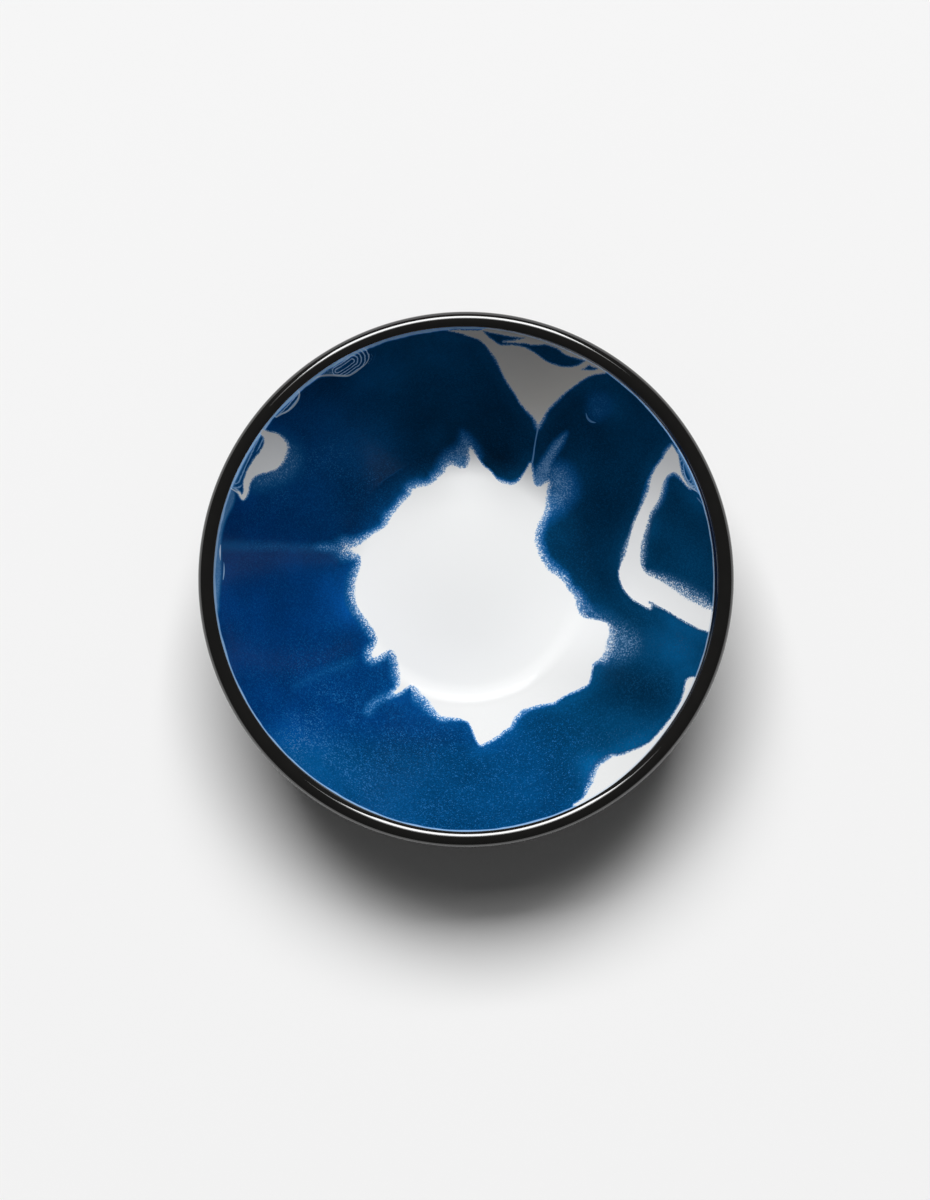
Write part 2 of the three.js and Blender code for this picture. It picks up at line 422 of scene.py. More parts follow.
LOWER_RIGHT_PATCH = [
    (574, 806, 0.8), (582, 799.5, 1), (586, 794.5, 2), (588.5, 789, 3), (592, 783, 4),
    (594.5, 776.5, 4), (596.5, 770.5, 3), (600, 765, 3), (606, 761, 3), (610.5, 757.5, 2.5),
    (617, 756, 1.5), (624, 754.5, 1.5), (632, 751, 1), (640, 748, 1), (646, 744.7, 0.8),
    (652, 740.5, 0.8), (658, 734, 0.8), (664, 727, 0.8), (670, 719.5, 0.8), (675, 712, 0.8),
    (679.5, 704, 0.8), (683, 696, 0.8), (685, 688, 1), (686.3, 681, 1), (690, 678, 1),
    (696, 678, 1), (704, 684, 0.8), (668, 745, 0.8), (610, 800, 0.8),
]
WHITE_AREAS = [WHITE_POOL, TOP_PATCH, LEFT_PATCH, RIGHT_VEIN, LOWER_RIGHT_PATCH]

# Blue left inside a white area, by x and y.
TOP_ISLAND = [
    (483, 331), (490, 332.2), (497, 333.5), (505, 335.2), (513, 336.6), (521, 337.4),
    (525.5, 337.7), (519, 339.7), (511, 340.8), (503, 341.5), (511, 342.5), (520, 342.8),
    (527, 343.2), (532, 344.6), (540, 344.4), (546, 344), (551, 345.8), (556, 347.6), (560, 350),
    (564, 353.2), (569, 355.6), (575, 357.5), (580, 359), (586, 360.4), (581, 364), (577, 366),
    (571, 367.2), (564, 367.2), (558, 366), (552, 364), (546, 361.5), (541, 358), (535, 353.3),
    (530, 350.3), (525, 348), (519, 346.2), (512, 345.4), (506, 345.6), (500, 345), (495, 342),
    (490, 338.3), (486, 334.7),
]
SMALL_ISLAND = [
    (580, 369.6), (585, 367.8), (588.5, 364.6), (592, 366), (598, 369), (593, 370.2), (586, 370.3),
]
BLUE_ISLANDS = [TOP_ISLAND, SMALL_ISLAND]
ISLAND_FRAY = 0.8

# Thin veils of white over the blue. The list has each with its strength and how softly it ends.
SPIKE_VEIL = [
    (462, 432), (472, 440), (480, 456), (472, 472), (456, 474), (446, 482), (436, 486), (431, 480),
    (436, 470), (440, 460), (446, 452), (454, 448), (460, 442),
]
STREAK_VEIL = [
    (567, 432), (564, 442), (558, 452), (553, 462), (551, 473), (548, 484), (537, 488), (532, 478),
    (535, 470), (541, 461), (547, 452), (555, 441),
]
SHOULDER_VEIL = [
    (549, 468), (559, 464), (569, 470), (574, 481), (575, 493), (569, 503), (560, 511), (549, 518),
    (543, 522), (542, 512), (545, 502), (545, 490), (545, 478),
]
HALF_MOON_VEIL = [
    (588, 396), (600, 391), (611, 397), (612, 410), (604, 419), (595, 421), (587, 414),
]
LOBE_VEIL = [
    (590, 610), (603, 614), (616, 620), (630, 627), (640, 637), (641, 648), (632, 657), (618, 662),
    (602, 660), (596, 650), (600, 636), (594, 622),
]
NOTCH_VEIL = [
    (566, 592), (582, 596), (590, 603), (598, 612), (606, 621), (594, 626), (578, 621), (570, 606),
]
TAIL_ROOT = [(401, 684), (403, 694), (393, 698), (386, 699), (386, 695), (393, 689)]
TAIL_VEIL = [
    (392, 690), (391, 699), (384, 703), (377, 708), (371, 716), (364, 715), (364, 706), (371, 699),
    (380, 694),
]
RAY_VEIL = [(354, 658), (352, 667), (326, 676), (298, 688), (293, 684), (320, 669), (340, 660)]
LEFT_SPIKE_VEIL = [
    (356, 543), (357, 554), (344, 555), (330, 553), (314, 549), (316, 544), (332, 543), (345, 544),
]
PATCH_VEIL = [
    (276, 434), (293, 440), (303, 451), (303, 466), (293, 480), (273, 488), (253, 491), (250, 470),
]
LEFT_STREAK = [
    (229, 486), (234.5, 490), (235.5, 497), (233.5, 505), (230, 512), (227, 518), (224.3, 526),
    (222.3, 535), (221.5, 545), (221.5, 560), (221.5, 575), (220.5, 588), (219.5, 600), (218, 615),
    (208, 612), (206, 560), (213, 510),
]
LEAF_ROOT = [
    (312, 382), (323, 370), (333, 362), (345, 354), (346, 362), (338, 372), (330, 376), (320, 378),
]
LEFT_BAND = [
    (218, 540), (260, 541), (300, 543), (332, 543), (340, 549), (326, 553), (280, 551), (218, 552),
]
VEILS = [
    (SPIKE_VEIL, 0.46, 9), (STREAK_VEIL, 0.5, 5), (SHOULDER_VEIL, 0.45, 16), (LOBE_VEIL, 0.37, 16),
    (NOTCH_VEIL, 0.35, 6), (TAIL_ROOT, 0.55, 3), (TAIL_VEIL, 0.28, 6), (LEFT_SPIKE_VEIL, 0.36, 6),
    (LEFT_BAND, 0.16, 6), (PATCH_VEIL, 0.33, 13), (LEFT_STREAK, 0.43, 2), (LEAF_ROOT, 0.4, 2),
    (HALF_MOON_VEIL, 0.21, 9), (RAY_VEIL, 0.17, 10),
]

# Pale swirls where white was drawn out into the blue along the rim. The list has each with how
# white it is and the strands in it: they run round a core, so many pixels apart, and lie so much
# closer beside the core than past its end.
LEAF_SWIRL = [
    (331, 371), (335, 364), (342, 357), (350, 352), (358, 347.5), (365, 346), (369, 350),
    (369.7, 356), (367.5, 361.5), (362, 367), (355, 372.5), (347, 375.6), (338, 375.6),
    (332, 374.5),
]
SMALL_SWIRL = [
    (274, 418), (280, 414.5), (286, 412), (290.5, 409), (294.5, 405), (298, 400), (299.6, 395),
    (299.4, 390), (296, 386), (280, 404),
]
LEFT_SWIRL = [
    (262, 430), (264, 438), (263, 443), (259, 449), (254, 455), (249, 461), (246, 467), (244, 474),
    (242, 481), (241, 489), (235, 489), (229, 488), (228, 482), (234, 470), (246, 448),
]
RIGHT_SWIRL = [
    (676, 449), (679, 455), (680.5, 464), (682.5, 473), (686, 481), (690, 486.5), (695, 490.5),
    (700, 495), (705, 490), (698, 474), (688, 456),
]
SWIRLS = [
    (LEAF_SWIRL, 0.54, [(337, 371), (344, 367), (351.5, 361.5)], 3.85, 1.5),
    (SMALL_SWIRL, 0.5, [(276, 414), (286, 404), (295, 393)], 4.2, 1.3),
    (LEFT_SWIRL, 0.44, [(256, 436), (247, 455), (236, 480)], 4.4, 1.0),
    (RIGHT_SWIRL, 0.4, [(688.5, 478), (687.5, 475), (686, 466)], 4.2, 1.2),
]

# Painted light and shade on the white: x, y and reach, and the factor that lightens or darkens its
# colour there.
WHITE_PAINTED_LIGHT_AND_SHADE = [
    (460, 575, 100, 0.955), (468, 470, 32, 1.2), (545, 385, 75, 0.83), (645, 515, 40, 1.14),
    (268, 455, 40, 1.1), (640, 590, 45, 1.03),
]

# Factors on the blue, by x, y and reach: partly the blue's own uneven shade, partly painted light
# and shade.
BLUE_TONES_AND_PAINTED_LIGHT = [
    (410, 350, 65, 2.2), (450, 352, 30, 1.22), (375, 375, 20, 1.28), (422, 408, 30, 0.68),
    (335, 445, 55, 1.6), (275, 470, 40, 1.25), (375, 435, 25, 1.25), (222, 600, 25, 1.3),
    (345, 495, 20, 0.8), (370, 515, 25, 0.8), (437, 436, 12, 1.3), (422, 458, 26, 0.7),
    (500, 440, 50, 0.7), (490, 462, 20, 0.6), (582, 438, 42, 0.78), (620, 505, 38, 0.6),
    (585, 470, 18, 1.3), (600, 392, 20, 1.5), (616, 406, 16, 1.6), (590, 555, 32, 0.7),
    (645, 555, 20, 0.75), (630, 605, 34, 0.85), (612, 583, 18, 0.6), (642, 690, 34, 0.46),
    (672, 652, 34, 2.05), (703, 500, 18, 1.7), (648, 528, 14, 1.4), (634, 735, 28, 1.45),
    (588, 765, 18, 1.9), (555, 765, 18, 0.82), (525, 735, 18, 1.2), (465, 735, 14, 0.78),
    (520, 795, 50, 1.3), (316, 762, 40, 1.8), (390, 800, 50, 1.3), (310, 660, 60, 1.05),
    (300, 605, 60, 1.1), (332, 583, 24, 1.35), (345, 612, 18, 1.7), (610, 722, 30, 1.1),
    (412, 708, 18, 1.25), (285, 735, 20, 1.8), (345, 735, 20, 0.8), (315, 705, 20, 0.88),
    (315, 525, 18, 0.83), (265, 672, 22, 0.88), (345, 648, 14, 0.85),
]

# Where pale dots gather in the blue: x, y and reach, and how dense they lie.
DOTTED = [
    (660, 645, 32, 0.12), (290, 766, 48, 0.16), (350, 808, 40, 0.07), (420, 800, 90, 0.06),
    (330, 690, 60, 0.05), (270, 480, 30, 0.1), (325, 455, 50, 0.11), (368, 472, 28, 0.08),
]

# Thin pale lines, each with how white it is. A point is x, y and the line's half width there.
LINES = [
    (0.55, [
        (532, 463, 0.9), (533.5, 455, 0.7), (534.5, 447, 0.6), (536, 438, 0.6), (537.6, 430, 0.9),
        (538.5, 423, 2),
    ]),
    (0.3, [(470, 446, 0.4), (466, 439, 0.8), (461, 431, 0.3)]),
    (0.5, [(586, 413, 0.3), (587.5, 418, 0.9), (591, 421.5, 1), (596, 422.8, 0.3)]),
    (0.8, [(220.5, 545, 0.3), (220, 552, 0.8), (220.3, 560, 0.3)]),
    (0.7, [(224, 563, 0.2), (224, 572, 0.6), (223, 581, 0.2)]),
    (0.8, [
        (314, 379.5, 0.5), (319, 376.5, 0.8), (325, 375.4, 1), (333, 375.2, 1.1), (341, 375.7, 1.1),
        (348, 375.6, 1), (354, 373, 0.8), (360, 368.6, 0.7), (365.8, 363.7, 0.6),
        (368.8, 358.5, 0.5), (369, 353.5, 0.4),
    ]),
    (0.3, [(370.5, 365, 0.2), (374, 359, 0.5), (376, 352, 0.2)]),
    (0.8, [
        (276, 417.5, 0.5), (281, 414.2, 0.8), (286, 412, 0.9), (290.5, 408.8, 1), (294.5, 404.8, 1),
        (297.8, 400, 1), (299.3, 395, 0.9), (299, 391, 0.6),
    ]),
    (0.75, [
        (679.5, 460, 0.4), (680.3, 468, 0.7), (681.5, 475, 0.8), (684.5, 480.5, 0.8),
        (688.3, 485.6, 0.8), (693, 489, 0.7), (698, 492, 0.4),
    ]),
    (0.65, [
        (683.8, 468, 0.3), (684.6, 474, 0.6), (687.5, 480.5, 0.7), (691.5, 485.5, 1),
        (695, 486, 0.8),
    ]),
    (0.5, [(697, 497.5, 0.3), (699, 500, 0.6), (703, 505, 0.3)]),
    (0.8, [(242.2, 498, 0.5), (238, 493, 0.7), (231, 488.5, 0.6)]),
    (0.16, [(380, 483, 0.3), (391, 475.5, 0.5), (402, 468, 0.3)]),
]


def rounded(outline, steps=4, closed=True):
    """An outline as a smooth curve through its points, with steps between each two."""
    points = np.array(outline, float)
    if closed:
        points = np.vstack((points[-1:], points, points[:2]))
    else:
        points = np.vstack((points[:1], points, points[-1:]))
    curve = []
    for before, a, b, after in zip(points, points[1:], points[2:], points[3:]):
        for t in np.arange(steps) / steps:
            curve.append(
                a
                + (b - before) * t / 2
                + (before - 2.5 * a + 2 * b - after / 2) * t**2
                + (1.5 * (a - b) + (after - before) / 2) * t**3
            )
    if not closed:
        curve.append(points[-1])
    return np.array(curve)


def nearest_on(curve, pixels, closed=True):
    """For each pixel, its distance from a curve, and the curve's further columns there."""
    distance = np.full(len(pixels), np.inf)
    extra = np.zeros((len(pixels), curve.shape[1] - 2))
    ends = np.roll(curve, -1, axis=0) if closed else curve[1:]
    for a, b in zip(curve, ends):
        edge = b - a
        length = max(edge[:2] @ edge[:2], 1e-12)
        share = np.clip((pixels - a[:2]) @ edge[:2] / length, 0, 1)
        gap = np.hypot(*(pixels - a[:2] - share[:, None] * edge[:2]).T)
        closer = gap < distance
        distance[closer] = gap[closer]
        extra[closer] = a[2:] + share[closer, None] * edge[2:]
    return distance, extra


def lies_inside(curve, pixels):
    inside = np.zeros(len(pixels), bool)
    x, y = pixels.T
    for a, b in zip(curve, np.roll(curve, -1, axis=0)):
        if a[1] == b[1]:
            continue
        crosses = (a[1] > y) != (b[1] > y)
        inside ^= crosses & (x < a[0] + (y - a[1]) / (b[1] - a[1]) * (b[0] - a[0]))
    return inside


def signed_distance(curve, pixels):
    """Distance from a closed curve, above 0 inside it, and the curve's further columns."""
    distance, extra = nearest_on(curve, pixels)
    return np.where(lies_inside(curve, pixels), distance, -distance), extra


def seen_at(points):
    """The photograph's pixels at which the camera sees points."""
    camera = camera_place()
    scale = FOCAL_PIXELS / (camera.z - points[:, 2])
    across = PIXEL_BELOW_CAMERA[0] + (points[:, 0] - camera.x) * scale
    down = PIXEL_BELOW_CAMERA[1] - (points[:, 1] - camera.y) * scale
    return np.column_stack((across, down))


def camera_place():
    return Vector((*CAMERA_FROM_AXIS, BOWL_HEIGHT + CAMERA_ABOVE_RIM))


def white_fields(pixels):
    """How far each pixel lies inside the white, below 0 in the blue, and how wide it frays."""
    cover = np.full(len(pixels), -np.inf)
    fray = np.ones(len(pixels))
    for area in WHITE_AREAS:
        distance, extra = signed_distance(rounded(area), pixels)
        more = distance > cover
        cover[more] = distance[more]
        fray[more] = extra[more, 0]
    for island in BLUE_ISLANDS:
        distance, _ = signed_distance(rounded(island), pixels)
        less = -distance < cover
        cover[less] = -distance[less]
        fray[less] = ISLAND_FRAY
    return cover, fray


def veil_field(pixels):
    """How much of a veil lies over each pixel, from 0 to 1."""
    veil = np.zeros(len(pixels))
    for outline, strength, softness in VEILS:
        distance, _ = signed_distance(rounded(outline, 2), pixels)
        share = np.clip(distance / (2 * softness) + 0.5, 0, 1)
        veil = np.maximum(veil, strength * share**2 * (3 - 2 * share))
    return veil


def near(pixels, x, y, reach):
    """1 at a pixel, easing to 0 past its reach."""
    away = np.hypot(pixels[:, 0] - x, pixels[:, 1] - y) / reach
    return np.exp(-(away**2))


def tone_field(pixels, tones):
    tone = np.ones(len(pixels))
    for x, y, reach, factor in tones:
        tone *= factor ** near(pixels, x, y, reach)
    return tone


def dotted_field(pixels):
    return sum(dense * near(pixels, x, y, reach) for x, y, reach, dense in DOTTED)


def swirl_fields(pixels):
    """How far each pixel lies inside a swirl, how white the swirl is, and its strands counted
    outwards from its core."""
    inside = np.full(len(pixels), -np.inf)
    level = np.zeros(len(pixels))
    strand = np.zeros(len(pixels))
    for outline, white, core, spacing, squeeze in SWIRLS:
        distance, _ = signed_distance(rounded(outline), pixels)
        curve = rounded(core, closed=False)
        beside, _ = nearest_on(curve, pixels, closed=False)
        tip = curve[-1]
        ahead = (tip - curve[-2]) / np.hypot(*(tip - curve[-2]))
        past = np.clip((pixels - tip) @ ahead, 0, None) / np.maximum(beside, 1e-6)
        more = distance > inside
        inside[more] = distance[more]
        level[more] = white
        strand[more] = (beside * (squeeze + (1 - squeeze) * np.clip(past, 0, 1)) / spacing)[more]
    return inside, level, strand


def line_fields(pixels):
    """For each pixel, its distance from the nearest line, below 0 on its left, that line's half
    width there, which is below 0 past the line's ends, and how white the line is."""
    nearest = np.full(len(pixels), np.inf)
    side = np.ones(len(pixels))
    width = np.full(len(pixels), -1.0)
    level = np.zeros(len(pixels))
    for white, line in LINES:
        curve = rounded(line, closed=False)
        ahead = np.gradient(curve[:, :2], axis=0)
        carried = np.column_stack((curve, curve[:, :2], ahead))
        distance, extra = nearest_on(carried, pixels, closed=False)
        away = pixels - extra[:, 1:3]
        cross = extra[:, 3] * away[:, 1] - extra[:, 4] * away[:, 0]
        past = np.abs(extra[:, 3] * away[:, 0] + extra[:, 4] * away[:, 1])
        past /= np.maximum(np.hypot(extra[:, 3], extra[:, 4]), 1e-9)
        closer = distance < nearest
        nearest[closer] = distance[closer]
        side[closer] = np.where(cross[closer] < 0, -1, 1)
        width[closer] = np.where(past[closer] > 0.5, -1.0, extra[closer, 0])
        level[closer] = white
    return nearest * side, width, level


def around(values, azimuths):
    """Values set every 30 degrees round from +X, at any azimuth."""
    places = np.linspace(0, FULL_TURN, len(values) + 1)
    return np.interp(azimuths, places, (*values, values[0]))


RIM_FIELD_DEPTH = 20 * MM  # down the wall
RIM_FIELD_STATIONS = 200


def rim_fields(points):
    """How far each point lies from the edging's line, down the wall, in metres and as a share of
    the paler fringe's width."""
    radii = np.hypot(points[:, 0], points[:, 1])
    azimuths = np.arctan2(points[:, 1], points[:, 0]) % FULL_TURN
    downs = np.linspace(-COAT_ABOVE_FOOT, RIM_FIELD_DEPTH, RIM_FIELD_STATIONS)
    lip = [offset(rim_station(down), INSIDE_COAT).x for down in downs]
    down = np.interp(radii, lip[::-1], downs[::-1])
    grid = np.linspace(0, FULL_TURN, INSIDE_SEGMENTS + 1)
    laps = np.interp(azimuths, grid, [edging_lap(a) for a in grid])
    rim = down - laps
    return rim, rim / (around(FRINGES, azimuths) * PIXEL / math.cos(WALL_TOP_SLOPE))


def store(mesh, name, values):
    attribute = mesh.attributes.new(name, "FLOAT", "POINT")
    attribute.data.foreach_set("value", np.asarray(values, np.float32))


def marble(piece):
    mesh = piece.data
    points = coordinates(mesh)
    pixels = seen_at(points)
    cover, fray = white_fields(pixels)
    store(mesh, "cover", cover * PIXEL)
    store(mesh, "fray", fray * PIXEL)
    rim, fringe = rim_fields(points)
    store(mesh, "rim", rim)
    store(mesh, "fringe", fringe)
    store(mesh, "veil", veil_field(pixels))
    # Factors on the blue: partly its own uneven shade, partly painted light and shade.
    store(mesh, "tone", tone_field(pixels, BLUE_TONES_AND_PAINTED_LIGHT))
    # Painted light and shade on the white, as factors on its colour.
    store(mesh, "white_painted_light_and_shade", tone_field(pixels, WHITE_PAINTED_LIGHT_AND_SHADE))
    store(mesh, "dotted", dotted_field(pixels))
    swirl, swirl_level, strand = swirl_fields(pixels)
    store(mesh, "swirl", swirl * PIXEL)
    store(mesh, "swirl_level", swirl_level)
    store(mesh, "strand", strand)
    line, line_width, line_level = line_fields(pixels)
    store(mesh, "line", line * PIXEL)
    store(mesh, "line_width", line_width * PIXEL)
    store(mesh, "line_level", line_level)


# Materials

class Finish:
    """A material whose nodes feed one Principled shader."""

    def __init__(self, name):
        self.material = bpy.data.materials.new(name)
        self.material.use_nodes = True
        self.tree = self.material.node_tree
        self.surface = self.tree.nodes["Principled BSDF"]
        self.place = self.add("ShaderNodeTexCoord").outputs["Object"]

    def add(self, kind, values=(), **settings):
        made = self.tree.nodes.new(kind)
        for name, value in settings.items():
            setattr(made, name, value)
        for key, value in dict(values).items():
            self.feed(made.inputs[key], value)
        return made

    def feed(self, socket, value):
        if isinstance(value, bpy.types.NodeSocket):
            self.tree.links.new(value, socket)
        else:
            socket.default_value = value

    def set(self, **values):
        for name, value in values.items():
            self.feed(self.surface.inputs[name.replace("_", " ")], value)

    def math(self, operation, *values):
        return self.add("ShaderNodeMath", enumerate(values), operation=operation).outputs[0]

    def times(self, *values):
        product = values[0]
        for value in values[1:]:
            product = self.math("MULTIPLY", product, value)
        return product

    def most(self, *values):
        largest = values[0]
        for value in values[1:]:
            largest = self.math("MAXIMUM", largest, value)
        return largest

    def attribute(self, name):
        return self.add("ShaderNodeAttribute", attribute_name=name).outputs["Fac"]

    def between(self, value, low, high, from_low=0.0, to_high=1.0):
        """Eases from from_low to to_high as value goes from low to high."""
        values = {
            "Value": value,
            "From Min": low,
            "From Max": high,
            "To Min": from_low,
            "To Max": to_high,
        }
        made = self.add("ShaderNodeMapRange", values, interpolation_type="SMOOTHSTEP")
        return made.outputs["Result"]

    def noise(self, size, detail=2.0):
        """Cloud noise of about that size, from 0 to 1."""
        values = {"Vector": self.place, "Scale": 1 / size, "Detail": detail}
        return self.add("ShaderNodeTexNoise", values).outputs["Fac"]

    def split(self, vector):
        return self.add("ShaderNodeSeparateXYZ", {"Vector": vector}).outputs

    def scaled(self, colour, factor):
        made = self.add("ShaderNodeVectorMath", operation="SCALE")
        self.feed(made.inputs[0], colour[:3] if isinstance(colour, tuple) else colour)
        self.feed(made.inputs["Scale"], factor)
        return made.outputs[0]

    def cells(self, size):
        """Small cells of about that size, each with a random value from 0 to 1."""
        values = {"Vector": self.place, "Scale": 1 / size}
        return self.split(self.add("ShaderNodeTexVoronoi", values).outputs["Color"])[0]

    def ramp(self, share, stops):
        made = self.add("ShaderNodeValToRGB", {"Fac": share})
        elements = made.color_ramp.elements
        while len(elements) < len(stops):
            elements.new(1.0)
        for element, (place, colour) in zip(elements, stops):
            element.position = place
            element.color = colour
        return made.outputs["Color"]

    def mix(self, share, a, b):
        made = self.add("ShaderNodeMix", data_type="RGBA")
        for key, value in ((0, share), (6, a), (7, b)):
            self.feed(made.inputs[key], value)
        return made.outputs[2]

    def bump(self, height, depth):
        """Relief from a height of 0 to 1, depth metres deep."""
        values = {"Height": height, "Distance": depth, "Strength": 1.0}
        self.set(Normal=self.add("ShaderNodeBump", values).outputs["Normal"])


DEEP_BLUE = (0.0006, 0.03, 0.135, 1)
GREENER_BLUE = (0.0008, 0.036, 0.098, 1)
PALES = [
    (0.2, (0.003, 0.075, 0.235, 1)), (0.36, (0.024, 0.135, 0.34, 1)),
    (0.58, (0.14, 0.3, 0.54, 1)), (0.8, (0.45, 0.59, 0.76, 1)),
]
GREYER_PALES = [
    (0.2, (0.005, 0.055, 0.14, 1)), (0.36, (0.03, 0.105, 0.22, 1)),
    (0.58, (0.14, 0.26, 0.43, 1)), (0.8, (0.43, 0.53, 0.65, 1)),
]
WHITE = (0.86, 0.865, 0.86, 1)
CREAM = (0.85, 0.81, 0.735, 1)

DOT_SIZE = 0.32 * MM
CLUMP_SIZE = 0.9 * MM
MOST_HALO = 0.85
MOST_VEIL = 0.58
MOST_SPECKLE = 0.42


class Marbling(Finish):
    """The enamel inside the bowl. The methods from areas to speckle each give a share of white,
    from 0 to 1, and the largest shows. Right, top and bottom are the photograph's."""

    def __init__(self, name):
        super().__init__(name)
        self.across, self.along, self.height = self.split(self.place)
        self.dots = self.cells(DOT_SIZE)
        self.cover = self.attribute("cover")
        self.fray = self.attribute("fray")
        self.rim = self.attribute("rim")
        self.stipple = self.stippling()

    def stippling(self):
        """Most of the fine dots hold back white that lies thinly, and a few let more of it through.
        """
        depth = self.times(
            self.math("MULTIPLY_ADD", self.math("POWER", self.dots, 3.0), 2.2, -0.55),
            self.between(self.along, -10 * MM, 30 * MM, 0.6, 0.4),
            self.between(self.across, -78 * MM, -72 * MM, 0.2, 1.0),
        )
        return self.math("ADD", depth, 1.0)

    def areas(self):
        """White areas end in a clear edge, and grow thinner right below the edging."""
        edge = self.math("DIVIDE", self.cover, self.math("MULTIPLY_ADD", self.fray, 0.4, 0.1 * MM))
        edge = self.math("MULTIPLY_ADD", self.math("SUBTRACT", self.dots, 0.5), 0.9, edge)
        thinned = self.between(self.rim, 0.35 * MM, 0.8 * MM, 0.52, 1.0)
        return self.math("MINIMUM", self.between(edge, -1.0, 0.8), thinned)

    def halo(self):
        """Past their edge, white areas fray out in dots."""
        reach = self.math("MULTIPLY_ADD", self.fray, 2.4, 0.3 * MM)
        near_edge = self.math("ADD", self.math("DIVIDE", self.cover, reach), 1.0)
        halo = self.math("POWER", self.most(near_edge, 0.0), 1.4)
        return self.math("MINIMUM", self.times(halo, 0.74, self.stipple), MOST_HALO)

    def veil(self):
        return self.math("MINIMUM", self.times(self.attribute("veil"), self.stipple), MOST_VEIL)

    def swirl(self):
        """Strands, which run together right below the edging."""
        clumps = self.times(self.noise(CLUMP_SIZE), 0.45)
        turn = self.times(self.math("ADD", self.attribute("strand"), clumps), FULL_TURN)
        strand = self.between(self.math("COSINE", turn), -0.1, 0.95, 0.35, 1.35)
        strand = self.times(strand, self.attribute("swirl_level"))
        strand = self.most(strand, self.between(self.rim, 0.4 * MM, 3.4 * MM, 0.57, 0.0))
        return self.times(strand, self.between(self.attribute("swirl"), -0.15 * MM, 0.15 * MM))

    def line(self):
        inside = self.math("ABSOLUTE", self.attribute("line"))
        inside = self.math("SUBTRACT", self.attribute("line_width"), inside)
        line = self.between(inside, -0.25 * MM, 0.15 * MM)
        return self.times(line, self.attribute("line_level"))

    def fringe(self):
        """The paler fringe below the edging, of a width that wanders."""
        wander = self.between(self.noise(7 * MM), 0.3, 0.7, -0.18, 0.18)
        share = self.math("ADD", self.attribute("fringe"), wander)
        return self.between(share, 0.6, 1.2, 0.64, 0.0)

    def speckle(self):
        """Pale dots in the blue, more of them low in the photograph."""
        lower = self.between(self.along, 70 * MM, -70 * MM, 0.02, 0.06)
        dense = self.math("ADD", self.attribute("dotted"), lower)
        dense = self.times(dense, self.between(self.noise(12 * MM), 0.35, 0.65, 0.7, 1.3))
        fine = self.times(self.between(self.dots, 0.6, 1.0, 0.2, 1.7), dense)
        lower = self.between(self.along, -32 * MM, -58 * MM, 0.07, 0.29)
        bright = self.times(self.between(self.dots, 0.84, 1.0), lower)
        return self.math("MINIMUM", self.most(fine, bright), MOST_SPECKLE)

    def blue(self):
        """The blue, greener at the right and the bottom, and lighter beside the white."""
        slant = self.math("MULTIPLY_ADD", self.along, 0.5, self.across)
        greener = self.most(
            self.between(slant, -75 * MM, 25 * MM),
            self.between(self.along, -45 * MM, -62 * MM, 0.0, 0.75),
        )
        blue = self.mix(greener, DEEP_BLUE, GREENER_BLUE)
        # The first factor holds the blue's own uneven shade and painted light and shade.
        for factor in (
            self.attribute("tone"),
            self.between(self.cover, -6 * MM, -1 * MM, 1.0, 1.35),
            self.between(self.noise(16 * MM, 3.0), 0.3, 0.7, 0.88, 1.14),
            self.between(self.dots, 0.2, 1.0, 0.9, 1.25),
        ):
            blue = self.scaled(blue, factor)
        return blue

    def pale(self, share):
        """What the blue turns into as white comes through it, greyer at the right."""
        greyer = self.times(
            self.between(self.across, 32 * MM, 55 * MM), self.between(self.along, 34 * MM, 18 * MM)
        )
        return self.mix(greyer, self.ramp(share, PALES), self.ramp(share, GREYER_PALES))

    def white(self):
        """The white, creamier at the top, with painted shade over the lower corner, where the lamps
        light it most, and with its painted light and shade at places.
        """
        # Painted shade: the white is darkened over the lower corner, where the lamps light it most.
        corner_painted_shade = self.times(
            self.between(self.along, -10 * MM, -36 * MM),
            self.between(self.height, 0.8 * MM, 3.8 * MM),
        )
        corner_shade_factor = self.math("MULTIPLY_ADD", corner_painted_shade, -0.22, 1.0)
        white = self.mix(self.between(self.along, 45 * MM, 62 * MM), WHITE, CREAM)
        # The white's colour is scaled by that painted shade and by its painted light and shade at
        # places.
        return self.scaled(white, self.times(corner_shade_factor, self.attribute("white_painted_light_and_shade")))


def marbled_enamel():
    finish = Marbling("marbled_enamel")
    swirl, fringe = finish.swirl(), finish.fringe()
    drawn = finish.most(swirl, finish.line(), fringe)
    share = finish.most(finish.areas(), finish.halo(), finish.veil(), drawn, finish.speckle())
    colour = finish.mix(finish.between(share, 0.0, 0.24), finish.blue(), finish.pale(share))

    # Painted light: swirls and the fringe are lightened towards the top, where the upper wall lies
    # in shade.
    painted_light = finish.math("MULTIPLY_ADD", swirl, 0.35, fringe)
    painted_light = finish.times(painted_light, finish.between(finish.along, 5 * MM, 55 * MM, 0.0, 2.2))
    colour = finish.scaled(colour, finish.math("ADD", painted_light, 1.0))

    colour = finish.mix(finish.between(share, 0.7, 1.0), colour, finish.white())
    finish.set(Base_Color=colour, Roughness=0.1, IOR=1.17)
    finish.bump(finish.noise(9 * MM), 0.02 * MM)
    return finish.material


def black_enamel():
    finish = Finish("black_enamel")
    cloud = finish.noise(6 * MM, 3.0)
    colour = finish.mix(cloud, (0.003, 0.0029, 0.0028, 1), (0.006, 0.0057, 0.0053, 1))
    finish.set(Base_Color=colour, Roughness=finish.between(cloud, 0.3, 0.7, 0.05, 0.1), IOR=1.5)
    finish.bump(finish.noise(5 * MM), 0.02 * MM)
    return finish.material


